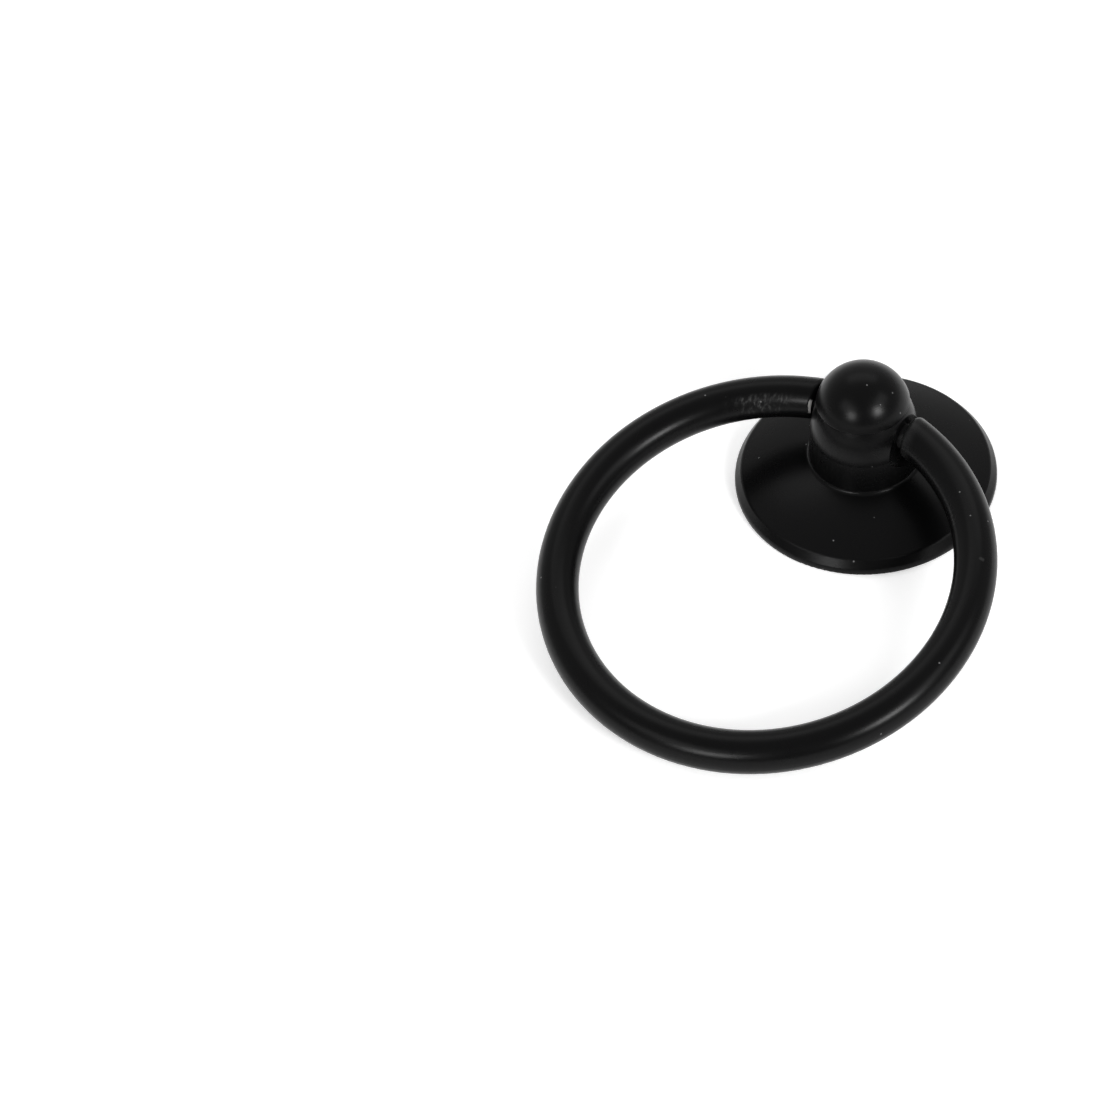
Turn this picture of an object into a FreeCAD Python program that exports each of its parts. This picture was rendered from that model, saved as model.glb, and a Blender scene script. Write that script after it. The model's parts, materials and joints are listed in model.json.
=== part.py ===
import FreeCAD, Part
import math
import os

# Ring pull handle for a cabinet door or drawer, in millimetres.
# The origin is the centre of the back face, +Z runs out of the mounting surface along the post,
# +X runs along the hinge, and the ring lies toward -Y with its far end down on the mounting surface.

# Backplate
plate_d = 32.0
plate_t = 5.05
plate_crown = 3.05
bevel_width = 0.8
bevel_corner_round = 0.5
wall_height = 0.8
wall_corner_round = 0.8
back_edge_round = 0.3

# Back of the backplate: a cored ring between the rim land and the screw boss
core_depth = 1.2
rim_land = 2.4
boss_d = 13.0
core_corner_round = 0.5

# Post and domed head
post_d = 13.0
post_draft = 0.3
foot_round = 0.5
hinge_height = 10.25
crease_above_hinge = 3.1
crease_depth = 1.25
shoulder_round = 9.0
dome_d = 11.6
dome_centre_below_crease = 0.95
dome_lip = 0.3
dome_lip_round = 0.25

# Screw hole, tapped M4 and blind
screw_hole_r = 1.65
screw_hole_depth = 6.5

# Ring and its two pivot pins
ring_mean_r = 24.85
wire_past_hinge = 0.414
wire_d = 5.1
wire_end_round = 0.6
pin_d = 3.1
pin_length = 3.2
pin_tip_chamfer = 0.3

# Clearances between the ring and the post
pin_clearance = 0.05
spot_face_inset = 1.0
spot_face_margin = 1.25
end_clearance = 0.7

# Sizes that follow from the ones above
plate_r = plate_d / 2
bevel_r = plate_r - bevel_width
crown_r = (bevel_r ** 2 + plate_crown ** 2) / (2 * plate_crown)
crown_centre_z = plate_t - crown_r
post_r = post_d / 2
wire_r = wire_d / 2
crease_z = hinge_height + crease_above_hinge
crease_r = post_r - crease_depth
dome_r = dome_d / 2
dome_z = crease_z - dome_centre_below_crease
spot_face_x = post_r - spot_face_inset
spot_face_r = wire_r + spot_face_margin
ring_end_x = spot_face_x + end_clearance
ring_centre_reach = math.sqrt(ring_mean_r ** 2 - ring_end_x ** 2) - wire_past_hinge
ring_tilt = math.degrees(math.asin((hinge_height - wire_r) / (ring_centre_reach + ring_mean_r)))

AXIS_X = FreeCAD.Vector(1, 0, 0)
AXIS_Z = FreeCAD.Vector(0, 0, 1)


def at(r, z):
    return FreeCAD.Vector(r, 0, z)


def line(a, b):
    return Part.makeLine(at(*a), at(*b))


def arc(centre, radius, start_deg, end_deg):
    points = []
    for angle in (start_deg, (start_deg + end_deg) / 2, end_deg):
        turn = math.radians(angle)
        points.append(at(centre[0] + radius * math.cos(turn), centre[1] + radius * math.sin(turn)))
    return Part.Arc(*points).toShape()


def turned(edges):
    return Part.Face(Part.Wire(edges)).revolve(FreeCAD.Vector(0, 0, 0), AXIS_Z, 360)


def rims(body, r, z):
    # Edges of a turned body that run round it at radius r and height z
    return [edge for edge in body.Edges if abs(edge.BoundBox.XMax - r) < 0.001
            and abs(edge.BoundBox.ZMin - z) < 0.001 and abs(edge.BoundBox.ZMax - z) < 0.001]


def on_crown(r, offset):
    # Height at radius r on the crowned top of the backplate, moved outward by offset
    return crown_centre_z + math.sqrt((crown_r + offset) ** 2 - r ** 2)


def plate_and_post():
    # Outline of the backplate, post and shoulder up to the crease, turned about the post axis
    foot_r = post_r + post_draft
    fillet_r = foot_r + foot_round
    fillet_z = on_crown(fillet_r, foot_round)
    bevel_top = (bevel_r, on_crown(bevel_r, 0))
    turn_in = math.degrees(math.asin(fillet_r / (crown_r + foot_round)))
    turn_out = math.degrees(math.asin(bevel_r / crown_r))
    crease_turn = math.acos((shoulder_round - crease_depth) / shoulder_round)
    shoulder_z = crease_z - shoulder_round * math.sin(crease_turn)
    edges = [
        line((0, 0), (plate_r - back_edge_round, 0)),
        arc((plate_r - back_edge_round, back_edge_round), back_edge_round, -90, 0),
        line((plate_r, back_edge_round), (plate_r, wall_height)),
        line((plate_r, wall_height), bevel_top),
        arc((0, crown_centre_z), crown_r, 90 - turn_out, 90 - turn_in),
        arc((fillet_r, fillet_z), foot_round, 270 - turn_in, 180),
        line((foot_r, fillet_z), (post_r, shoulder_z)),
        arc((post_r - shoulder_round, shoulder_z), shoulder_round, 0, math.degrees(crease_turn)),
        line((crease_r, crease_z), (0, crease_z)),
        line((0, crease_z), (0, 0)),
    ]
    body = turned(edges)
    body = body.makeFillet(bevel_corner_round, rims(body, bevel_r, bevel_top[1]))
    return body.makeFillet(wall_corner_round, rims(body, plate_r, wall_height))


def head():
    # Near-spherical head; its rounded lip hangs over the crease and over the spot faces
    lip_turn = math.asin((dome_centre_below_crease + dome_lip) / dome_r)
    lip = (dome_r * math.cos(lip_turn), dome_z + dome_r * math.sin(lip_turn))
    edges = [
        line((0, crease_z), (crease_r, crease_z)),
        line((crease_r, crease_z), lip),
        arc((0, dome_z), dome_r, math.degrees(lip_turn), 90),
        line((0, dome_z + dome_r), (0, crease_z)),
    ]
    ball = turned(edges)
    lips = [edge for edge in ball.Edges if abs(edge.BoundBox.ZLength) < 0.001
            and abs(edge.CenterOfMass.z - lip[1]) < 0.001]
    return ball.makeFillet(dome_lip_round, lips)


def back_core():
    # Annular recess that keeps the wall of the casting even
    outer = plate_r - rim_land
    inner = boss_d / 2
    top = core_depth - core_corner_round
    edges = [
        line((inner, -1), (outer, -1)),
        line((outer, -1), (outer, top)),
        arc((outer - core_corner_round, top), core_corner_round, 0, 90),
        line((outer - core_corner_round, core_depth), (inner + core_corner_round, core_depth)),
        arc((inner + core_corner_round, top), core_corner_round, 90, 180),
        line((inner, top), (inner, -1)),
    ]
    return turned(edges)


def screw_hole():
    # Blind drilled hole with a drill-point end
    point_z = screw_hole_depth + screw_hole_r * math.tan(math.radians(31))
    edges = [
        line((0, -1), (screw_hole_r, -1)),
        line((screw_hole_r, -1), (screw_hole_r, screw_hole_depth)),
        line((screw_hole_r, screw_hole_depth), (0, point_z)),
        line((0, point_z), (0, -1)),
    ]
    return turned(edges)


def along_x(radius, x0, x1):
    return Part.makeCylinder(radius, x1 - x0, FreeCAD.Vector(x0, 0, hinge_height), AXIS_X)


def backplate_post():
    body = plate_and_post().cut(back_core()).cut(screw_hole())
    for side in (-1, 1):
        x0, x1 = sorted((side * spot_face_x, side * plate_r))
        body = body.cut(along_x(spot_face_r, x0, x1))
    body = body.cut(along_x(pin_d / 2 + pin_clearance, -plate_r, plate_r))
    return body.fuse(head()).removeSplitter()


def open_ring():
    # Round wire bent into a ring, with a gap whose ends stand square to the hinge
    wire = Part.makeTorus(ring_mean_r, wire_r, FreeCAD.Vector(0, -ring_centre_reach, 0), AXIS_Z)
    gap = Part.makeBox(2 * ring_end_x, ring_centre_reach + ring_mean_r, 4 * wire_r,
                       FreeCAD.Vector(-ring_end_x, -ring_centre_reach, -2 * wire_r))
    ring = wire.cut(gap)
    ends = [edge for edge in ring.Edges if abs(abs(edge.CenterOfMass.x) - ring_end_x) < 0.001]
    return ring.makeFillet(wire_end_round, ends)


def pivot_pin(side):
    length = pin_length + wire_end_round + 1
    pin = Part.makeCylinder(pin_d / 2, length, FreeCAD.Vector(ring_end_x - pin_length, 0, 0), AXIS_X)
    tip = [edge for edge in pin.Edges if abs(edge.CenterOfMass.x - pin.BoundBox.XMin) < 0.001]
    pin = pin.makeChamfer(pin_tip_chamfer, tip)
    if side < 0:
        pin = pin.mirror(FreeCAD.Vector(0, 0, 0), AXIS_X)
    return pin


def pull_ring():
    ring = open_ring().fuse([pivot_pin(-1), pivot_pin(1)])
    ring = ring.removeSplitter()
    ring.rotate(FreeCAD.Vector(0, 0, 0), AXIS_X, ring_tilt)
    ring.translate(FreeCAD.Vector(0, 0, hinge_height))
    return ring


def one_solid(shape):
    return shape.Solids[0] if len(shape.Solids) == 1 else shape


os.makedirs("parts", exist_ok=True)
for node, shape in (("backplate_post", backplate_post()), ("pull_ring", pull_ring())):
    one_solid(shape).exportStep(f"parts/{node}.step")
    box = shape.BoundBox
    print(node, len(shape.Solids), shape.isValid(), round(shape.Volume, 1), box)
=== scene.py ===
import json
import math

import bpy
from mathutils import Matrix, Vector


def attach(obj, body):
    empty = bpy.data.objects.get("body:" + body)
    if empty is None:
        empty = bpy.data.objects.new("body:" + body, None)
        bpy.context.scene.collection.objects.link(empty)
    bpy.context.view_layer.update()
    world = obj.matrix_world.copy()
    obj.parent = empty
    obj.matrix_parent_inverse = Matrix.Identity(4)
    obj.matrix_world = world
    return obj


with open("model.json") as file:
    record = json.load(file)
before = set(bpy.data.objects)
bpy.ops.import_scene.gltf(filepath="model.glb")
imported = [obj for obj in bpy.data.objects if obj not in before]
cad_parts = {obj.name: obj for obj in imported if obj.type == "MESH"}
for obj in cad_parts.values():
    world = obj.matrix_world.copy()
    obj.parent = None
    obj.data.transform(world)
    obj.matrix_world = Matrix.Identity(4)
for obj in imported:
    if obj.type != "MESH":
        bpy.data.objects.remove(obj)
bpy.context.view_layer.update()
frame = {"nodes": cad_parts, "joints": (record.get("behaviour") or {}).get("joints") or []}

# Ring pull handle on a plain pale floor. Lengths are in metres, in the frame of the solids:
# the back of the backplate is on Z = 0, the post stands along +Z and the ring lies toward -Y.

# Camera
CAMERA_AIM = Vector((-0.02754, -0.02879, 0.0))
CAMERA_AZIMUTH = 39.03
CAMERA_ELEVATION = 48.85
CAMERA_ROLL = 7.67
CAMERA_DISTANCE = 0.465
CAMERA_LENS = 125.13
CAMERA_SENSOR = 36
CAMERA_CLIP = 0.01

# Lamps, each with its azimuth from the camera's, elevation, distance, width, height and radiance
LAMP_AIM = Vector((0, -0.015, 0.005))
LAMPS = {
    "back_box": (172, 54, 1.2, 1.2, 0.5, 1.0),
    "front_box_left": (-38, 24, 1.1, 0.32, 0.28, 14.0),
    "front_glow_left": (-58, 38, 1.3, 0.7, 0.5, 1.6),
    "front_box_right": (34, 29, 1.1, 0.32, 0.28, 25.0),
    "front_glow_right": (62, 42, 1.3, 0.7, 0.5, 1.6),
}

# Surroundings
WORLD_BEFORE = 0.2
WORLD_BEHIND = 0.7
FLOOR_SIZE = 8
FLOOR_Z = -0.00002
FLOOR_GREY = 0.9
FLOOR_GLOW = 0.4

# Coat
COAT_COLOUR = (0.002, 0.002, 0.0021, 1)
COAT_SPECULAR = 0.12
COAT_ROUGHNESS = 0.24
COAT_UNEVENNESS = 0.08
UNEVEN_SCALE = 260
SKIN_SCALE = 2600
SKIN_DETAIL = 3.0
SKIN_HEIGHT = 0.00004
SKIN_STRENGTH = 0.08

# Dust specks: cells to the metre, the share of cells left empty, and the edge in cell widths.
# Here and below, a fade is the pair of values at which a mask is 0 and 1.
SPECK_CELLS = 450
SPECK_EMPTY = 0.35
SPECK_FADE = (0.062, 0.034)
SPECK_COVER = 0.3
SPECK_GREY = 0.4

# The ring, whose centre line falls by RING_SLOPE along -Y from the hinge
HINGE_Z = frame["joints"][0]["pos_m"][2]
RING_END_X = 0.0062
RING_MEAN_R = 0.02485
RING_CENTRE = (0, -0.02365, 0)
RING_SLOPE = 0.1608
RING_ENDS_FROM_Y = -0.006

# Painted glint on the lower rim of the left end: a pale grey that stands for light caught by the rim's
# edge
GLINT_COLOUR = (0.42, 0.41, 0.4, 1)
GLINT_PAST_FACE = 0.00003
GLINT_FADE = (-RING_END_X - 0.00005, -RING_END_X + 0.00005)
GLINT_RAGGED = 0.0005
GLINT_RAGGED_SCALE = 1500
GLINT_TOP_FADE = (0.0003, -0.0002)
GLINT_BOTTOM_FADE = (-0.0024, -0.0018)

# Painted sheen on the right end: a blotchy lighter grey that stands for a lamp's reflection on its
# rounded edge
SHEEN_END_GREY = 0.022
SHEEN_END_FADE = (RING_END_X + 0.002, RING_END_X + 0.0004)
SHEEN_END_SCALE = 900

# Rubbed patch beside the left end: rougher, and painted lighter as a sheen that stands for the lamp's
# highlight along the wire
PATCH_AND_SHEEN_GREY = 0.06
PATCH_ROUGHNESS = 0.2
PATCH_FAR_X_FADE = (-0.0185, -0.013)
PATCH_NEAR_X_FADE = (-0.008, -0.0105)
PATCH_Y_FADE = (-0.0075, -0.0045)
PATCH_INNER_FADE = (-0.0026, -0.0014)
PATCH_OUTER_FADE = (0.0012, 0.0)
PATCH_BLOTCH_SCALE = 350
PATCH_BLOTCH_FADE = (0.3, 0.6)
STREAK_STRETCH = (3.5, 1.5, 1.5)
STREAK_SCALE = 900
STREAK_DETAIL = 3.0
STREAK_FADE = (0.4, 0.75)

# Scuff on the right of the ring
SCUFF_GREY = 0.02
SCUFF_PLACE = (0.02325, -0.01275, 0.0106)
SCUFF_FADE = (0.00062, 0.0004)
SCUFF_RAGGED = 0.0005
SCUFF_RAGGED_SCALE = 2500

# Thread of the M4 screw hole, a ridge rooted in the wall of the 3.3 mm tapping-size hole
THREAD_ROOT_R = 0.00168
THREAD_PITCH = 0.0007
THREAD_DEPTH = 0.00017
THREAD_HALF_ROOT = 0.4 * THREAD_PITCH
THREAD_FROM = 0.00045
THREAD_TURNS = 8
THREAD_STEPS = 40


def direction(azimuth, elevation):
    # Unit vector from the part toward a place at this azimuth and elevation
    a, e = math.radians(azimuth), math.radians(elevation)
    return Vector((math.sin(a) * math.cos(e), -math.cos(a) * math.cos(e), math.sin(e)))


def aimed(place, target, roll=0.0):
    # Matrix of something at place that looks along its own -Z at target
    back = (place - target).normalized()
    right = Vector((0, 0, 1)).cross(back).normalized()
    up = back.cross(right)
    turn = Matrix.Rotation(math.radians(roll), 4, "Z")
    axes = Matrix((right, up, back)).transposed().to_4x4()
    return Matrix.Translation(place) @ axes @ turn


def grey(level):
    return (level, level, level, 1)


def add_camera():
    data = bpy.data.cameras.new("camera")
    data.sensor_width = CAMERA_SENSOR
    data.lens = CAMERA_LENS
    data.clip_start = CAMERA_CLIP
    camera = bpy.data.objects.new("camera", data)
    place = CAMERA_AIM + direction(CAMERA_AZIMUTH, CAMERA_ELEVATION) * CAMERA_DISTANCE
    camera.matrix_world = aimed(place, CAMERA_AIM, -CAMERA_ROLL)
    bpy.context.scene.collection.objects.link(camera)
    bpy.context.scene.camera = camera


def add_lamp(name, azimuth, elevation, distance, width, height, radiance):
    data = bpy.data.lights.new(name, "AREA")
    data.shape = "RECTANGLE"
    data.size = width
    data.size_y = height
    data.energy = radiance * math.pi * width * height
    lamp = bpy.data.objects.new(name, data)
    place = LAMP_AIM + direction(CAMERA_AZIMUTH + azimuth, elevation) * distance
    lamp.matrix_world = aimed(place, LAMP_AIM)
    bpy.context.scene.collection.objects.link(lamp)


class Nodes:
    # Short names for wiring one node tree
    def __init__(self, tree):
        self.tree = tree
        tree.nodes.clear()

    def add(self, kind, **settings):
        node = self.tree.nodes.new(kind)
        for key, value in settings.items():
            setattr(node, key, value)
        return node

    def put(self, value, socket):
        if hasattr(value, "is_output"):
            self.tree.links.new(value, socket)
        else:
            socket.default_value = value

    def math(self, operation, a, b, c=0.0, clamp=False):
        node = self.add("ShaderNodeMath", operation=operation, use_clamp=clamp)
        for value, socket in zip((a, b, c), node.inputs):
            self.put(value, socket)
        return node.outputs[0]

    def add_up(self, a, b):
        return self.math("ADD", a, b)

    def times(self, a, b):
        return self.math("MULTIPLY", a, b)

    def vector(self, operation, a, b=(0, 0, 0), output="Vector"):
        node = self.add("ShaderNodeVectorMath", operation=operation)
        self.put(a, node.inputs[0])
        self.put(b, node.inputs[1])
        return node.outputs[output]

    def ramp(self, value, fade):
        # Smooth step from 0 at the fade's first value to 1 at its second
        node = self.add("ShaderNodeMapRange", interpolation_type="SMOOTHSTEP")
        self.put(value, node.inputs["Value"])
        self.put(fade[0], node.inputs["From Min"])
        self.put(fade[1], node.inputs["From Max"])
        return node.outputs["Result"]

    def mix(self, factor, a, b):
        node = self.add("ShaderNodeMix", data_type="RGBA")
        self.put(factor, node.inputs[0])
        self.put(a, node.inputs[6])
        self.put(b, node.inputs[7])
        return node.outputs[2]

    def noise(self, vector, scale, detail=2.0):
        node = self.add("ShaderNodeTexNoise")
        self.put(vector, node.inputs["Vector"])
        self.put(scale, node.inputs["Scale"])
        self.put(detail, node.inputs["Detail"])
        return node.outputs["Fac"]

    def finish(self, kind, surface):
        self.put(surface, self.add(kind).inputs["Surface"])


def add_world():
    # Pale surroundings, brighter behind the part than on the side it is seen from
    world = bpy.data.worlds.new("studio")
    world.use_nodes = True
    nodes = Nodes(world.node_tree)
    toward = nodes.add("ShaderNodeTexCoord").outputs["Generated"]
    facing = nodes.vector("DOT_PRODUCT", toward, direction(CAMERA_AZIMUTH + 180, 0), "Value")
    behind = nodes.math("MULTIPLY_ADD", facing, 0.5, 0.5)
    background = nodes.add("ShaderNodeBackground")
    nodes.put(nodes.mix(behind, grey(WORLD_BEFORE), grey(WORLD_BEHIND)), background.inputs["Color"])
    nodes.finish("ShaderNodeOutputWorld", background.outputs[0])
    bpy.context.scene.world = world


def add_floor():
    bpy.ops.mesh.primitive_plane_add(size=FLOOR_SIZE, location=(0, 0, FLOOR_Z))
    floor = bpy.context.object
    floor.name = "floor"
    material = bpy.data.materials.new("floor")
    material.use_nodes = True
    nodes = Nodes(material.node_tree)
    card = nodes.add("ShaderNodeBsdfDiffuse")
    nodes.put(grey(FLOOR_GREY), card.inputs["Color"])

    # The camera, and what mirrors or shows the floor, see it a little brighter than it is lit
    path = nodes.add("ShaderNodeLightPath")
    seen = nodes.math("ADD", path.outputs["Is Camera Ray"], path.outputs["Is Glossy Ray"], clamp=True)
    seen = nodes.math("ADD", seen, path.outputs["Is Transmission Ray"], clamp=True)
    glow = nodes.add("ShaderNodeEmission")
    nodes.put(grey(1), glow.inputs["Color"])
    nodes.put(nodes.times(seen, FLOOR_GLOW), glow.inputs["Strength"])
    both = nodes.add("ShaderNodeAddShader")
    nodes.put(card.outputs[0], both.inputs[0])
    nodes.put(glow.outputs[0], both.inputs[1])
    nodes.finish("ShaderNodeOutputMaterial", both.outputs[0])
    floor.data.materials.append(material)


def specks(nodes, place):
    # Mask of small round dust specks, wherever the surface meets the middle of a chosen cell
    cells = nodes.add("ShaderNodeTexVoronoi", feature="F1")
    nodes.put(place, cells.inputs["Vector"])
    nodes.put(SPECK_CELLS, cells.inputs["Scale"])
    cell = nodes.add("ShaderNodeSeparateColor")
    nodes.put(cells.outputs["Color"], cell.inputs[0])
    chosen = nodes.math("GREATER_THAN", cell.outputs[0], SPECK_EMPTY)
    return nodes.times(chosen, nodes.ramp(cells.outputs["Distance"], SPECK_FADE))


def painted_glint_rim(nodes, place, x, facing):
    # Mask of the painted glint, a ragged pale line on the lower rim of the left end, without the end
    # face itself
    height = nodes.times(nodes.ramp(facing, GLINT_TOP_FADE), nodes.ramp(facing, GLINT_BOTTOM_FADE))
    ragged = nodes.math("MULTIPLY_ADD", nodes.noise(place, GLINT_RAGGED_SCALE), GLINT_RAGGED, x)
    past_face = nodes.math("LESS_THAN", x, -RING_END_X - GLINT_PAST_FACE)
    return nodes.times(nodes.times(height, nodes.ramp(ragged, GLINT_FADE)), past_face)


def painted_sheen_end(nodes, place, x):
    # Mask of the blotchy painted sheen on the right end
    right = nodes.math("GREATER_THAN", x, 0.0)
    return nodes.times(nodes.times(nodes.ramp(x, SHEEN_END_FADE), right), nodes.noise(place, SHEEN_END_SCALE))


def rubbed_patch_and_sheen(nodes, place, x, y, above_hinge):
    # Mask of the rubbed patch, also painted lighter as a sheen: a band along the upper side of the
    # wire, beside the left end
    patch_and_sheen = nodes.times(nodes.ramp(x, PATCH_FAR_X_FADE), nodes.ramp(x, PATCH_NEAR_X_FADE))
    patch_and_sheen = nodes.times(patch_and_sheen, nodes.ramp(y, PATCH_Y_FADE))
    flat = nodes.vector("MULTIPLY", nodes.vector("SUBTRACT", place, RING_CENTRE), (1, 1, 0))
    outward = nodes.math("SUBTRACT", nodes.vector("LENGTH", flat, output="Value"), RING_MEAN_R)
    band = nodes.add_up(outward, nodes.math("SUBTRACT", above_hinge, nodes.times(y, RING_SLOPE)))
    patch_and_sheen = nodes.times(patch_and_sheen, nodes.ramp(band, PATCH_INNER_FADE))
    patch_and_sheen = nodes.times(patch_and_sheen, nodes.ramp(band, PATCH_OUTER_FADE))
    return nodes.times(patch_and_sheen, nodes.ramp(nodes.noise(place, PATCH_BLOTCH_SCALE), PATCH_BLOTCH_FADE))


def streaks(nodes, place):
    # Fine streaks across the wire beside its left end
    stretched = nodes.vector("MULTIPLY", place, STREAK_STRETCH)
    return nodes.ramp(nodes.noise(stretched, STREAK_SCALE, STREAK_DETAIL), STREAK_FADE)


def scuff(nodes, place):
    # Mask of one small ragged scuff
    apart = nodes.vector("DISTANCE", place, SCUFF_PLACE, "Value")
    ragged = nodes.times(nodes.noise(place, SCUFF_RAGGED_SCALE), SCUFF_RAGGED)
    return nodes.ramp(nodes.add_up(apart, ragged), SCUFF_FADE)


def worn(nodes, place, colour, rough):
    # Colour and roughness of the ring's coat, with a painted glint and a painted sheen at its ends, a
    # rubbed patch painted lighter as a sheen on the wire, and a scuff
    axes = nodes.add("ShaderNodeSeparateXYZ")
    nodes.put(place, axes.inputs[0])
    x, y, z = axes.outputs
    above_hinge = nodes.math("SUBTRACT", z, HINGE_Z)
    near_hinge = nodes.math("GREATER_THAN", y, RING_ENDS_FROM_Y)

    # Painted glint: pale grey on the lower rim of the left end
    glint = nodes.times(near_hinge, painted_glint_rim(nodes, place, x, nodes.add_up(y, above_hinge)))
    colour = nodes.mix(glint, colour, GLINT_COLOUR)
    # Painted sheen: blotchy lighter grey on the right end
    sheen_end = nodes.times(near_hinge, painted_sheen_end(nodes, place, x))
    colour = nodes.mix(sheen_end, colour, grey(SHEEN_END_GREY))
    # Rubbed patch: rougher, and painted lighter as a sheen along the wire
    patch_and_sheen = rubbed_patch_and_sheen(nodes, place, x, y, above_hinge)
    colour = nodes.mix(nodes.times(patch_and_sheen, streaks(nodes, place)), colour, grey(PATCH_AND_SHEEN_GREY))
    colour = nodes.mix(scuff(nodes, place), colour, grey(SCUFF_GREY))
    return colour, nodes.add_up(rough, nodes.times(patch_and_sheen, PATCH_ROUGHNESS))


def black_coat(name, ring):
    # Semi-gloss black coat on a casting, with a fine skin and a few pale dust specks; on the ring, also
    # the wear, painted glint and painted sheen of worn()
    material = bpy.data.materials.new(name)
    material.use_nodes = True
    nodes = Nodes(material.node_tree)
    place = nodes.add("ShaderNodeTexCoord").outputs["Object"]
    colour = nodes.mix(nodes.times(specks(nodes, place), SPECK_COVER), COAT_COLOUR, grey(SPECK_GREY))
    rough = nodes.add_up(COAT_ROUGHNESS, nodes.times(nodes.noise(place, UNEVEN_SCALE), COAT_UNEVENNESS))
    if ring:
        colour, rough = worn(nodes, place, colour, rough)

    bump = nodes.add("ShaderNodeBump")
    nodes.put(SKIN_STRENGTH, bump.inputs["Strength"])
    nodes.put(SKIN_HEIGHT, bump.inputs["Distance"])
    nodes.put(nodes.noise(place, SKIN_SCALE, SKIN_DETAIL), bump.inputs["Height"])
    shader = nodes.add("ShaderNodeBsdfPrincipled")
    nodes.put(colour, shader.inputs["Base Color"])
    nodes.put(rough, shader.inputs["Roughness"])
    nodes.put(COAT_SPECULAR, shader.inputs["Specular IOR Level"])
    nodes.put(bump.outputs[0], shader.inputs["Normal"])
    nodes.finish("ShaderNodeOutputMaterial", shader.outputs[0])
    return material


def dress(node, material):
    piece = frame["nodes"][node]
    piece.data.materials.clear()
    piece.data.materials.append(material)
    for face in piece.data.polygons:
        face.use_smooth = True


def add_thread(material):
    # Three corners of the ridge's section, carried round and up the hole
    section = ((THREAD_ROOT_R, -THREAD_HALF_ROOT), (THREAD_ROOT_R - THREAD_DEPTH, 0.0),
               (THREAD_ROOT_R, THREAD_HALF_ROOT))
    corners = []
    for step in range(THREAD_TURNS * THREAD_STEPS + 1):
        turn = 2 * math.pi * step / THREAD_STEPS
        middle = THREAD_FROM + THREAD_PITCH * step / THREAD_STEPS
        for r, rise in section:
            corners.append((r * math.cos(turn), r * math.sin(turn), middle + rise))
    last = len(corners) - 3
    faces = [(0, 2, 1), (last, last + 1, last + 2)]
    for start in range(0, last, 3):
        for side in range(3):
            a, b = start + side, start + (side + 1) % 3
            faces.append((a, b, b + 3, a + 3))
    mesh = bpy.data.meshes.new("screw_hole_thread")
    mesh.from_pydata(corners, [], faces)
    mesh.materials.append(material)
    thread = bpy.data.objects.new("screw_hole_thread", mesh)
    bpy.context.scene.collection.objects.link(thread)
    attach(thread, "base")


coat = black_coat("black_coat", False)
dress("backplate_post", coat)
dress("pull_ring", black_coat("black_coat_ring", True))
add_thread(coat)
add_world()
add_floor()
add_camera()
for name, settings in LAMPS.items():
    add_lamp(name, *settings)
bpy.context.scene.view_settings.view_transform = "Standard"
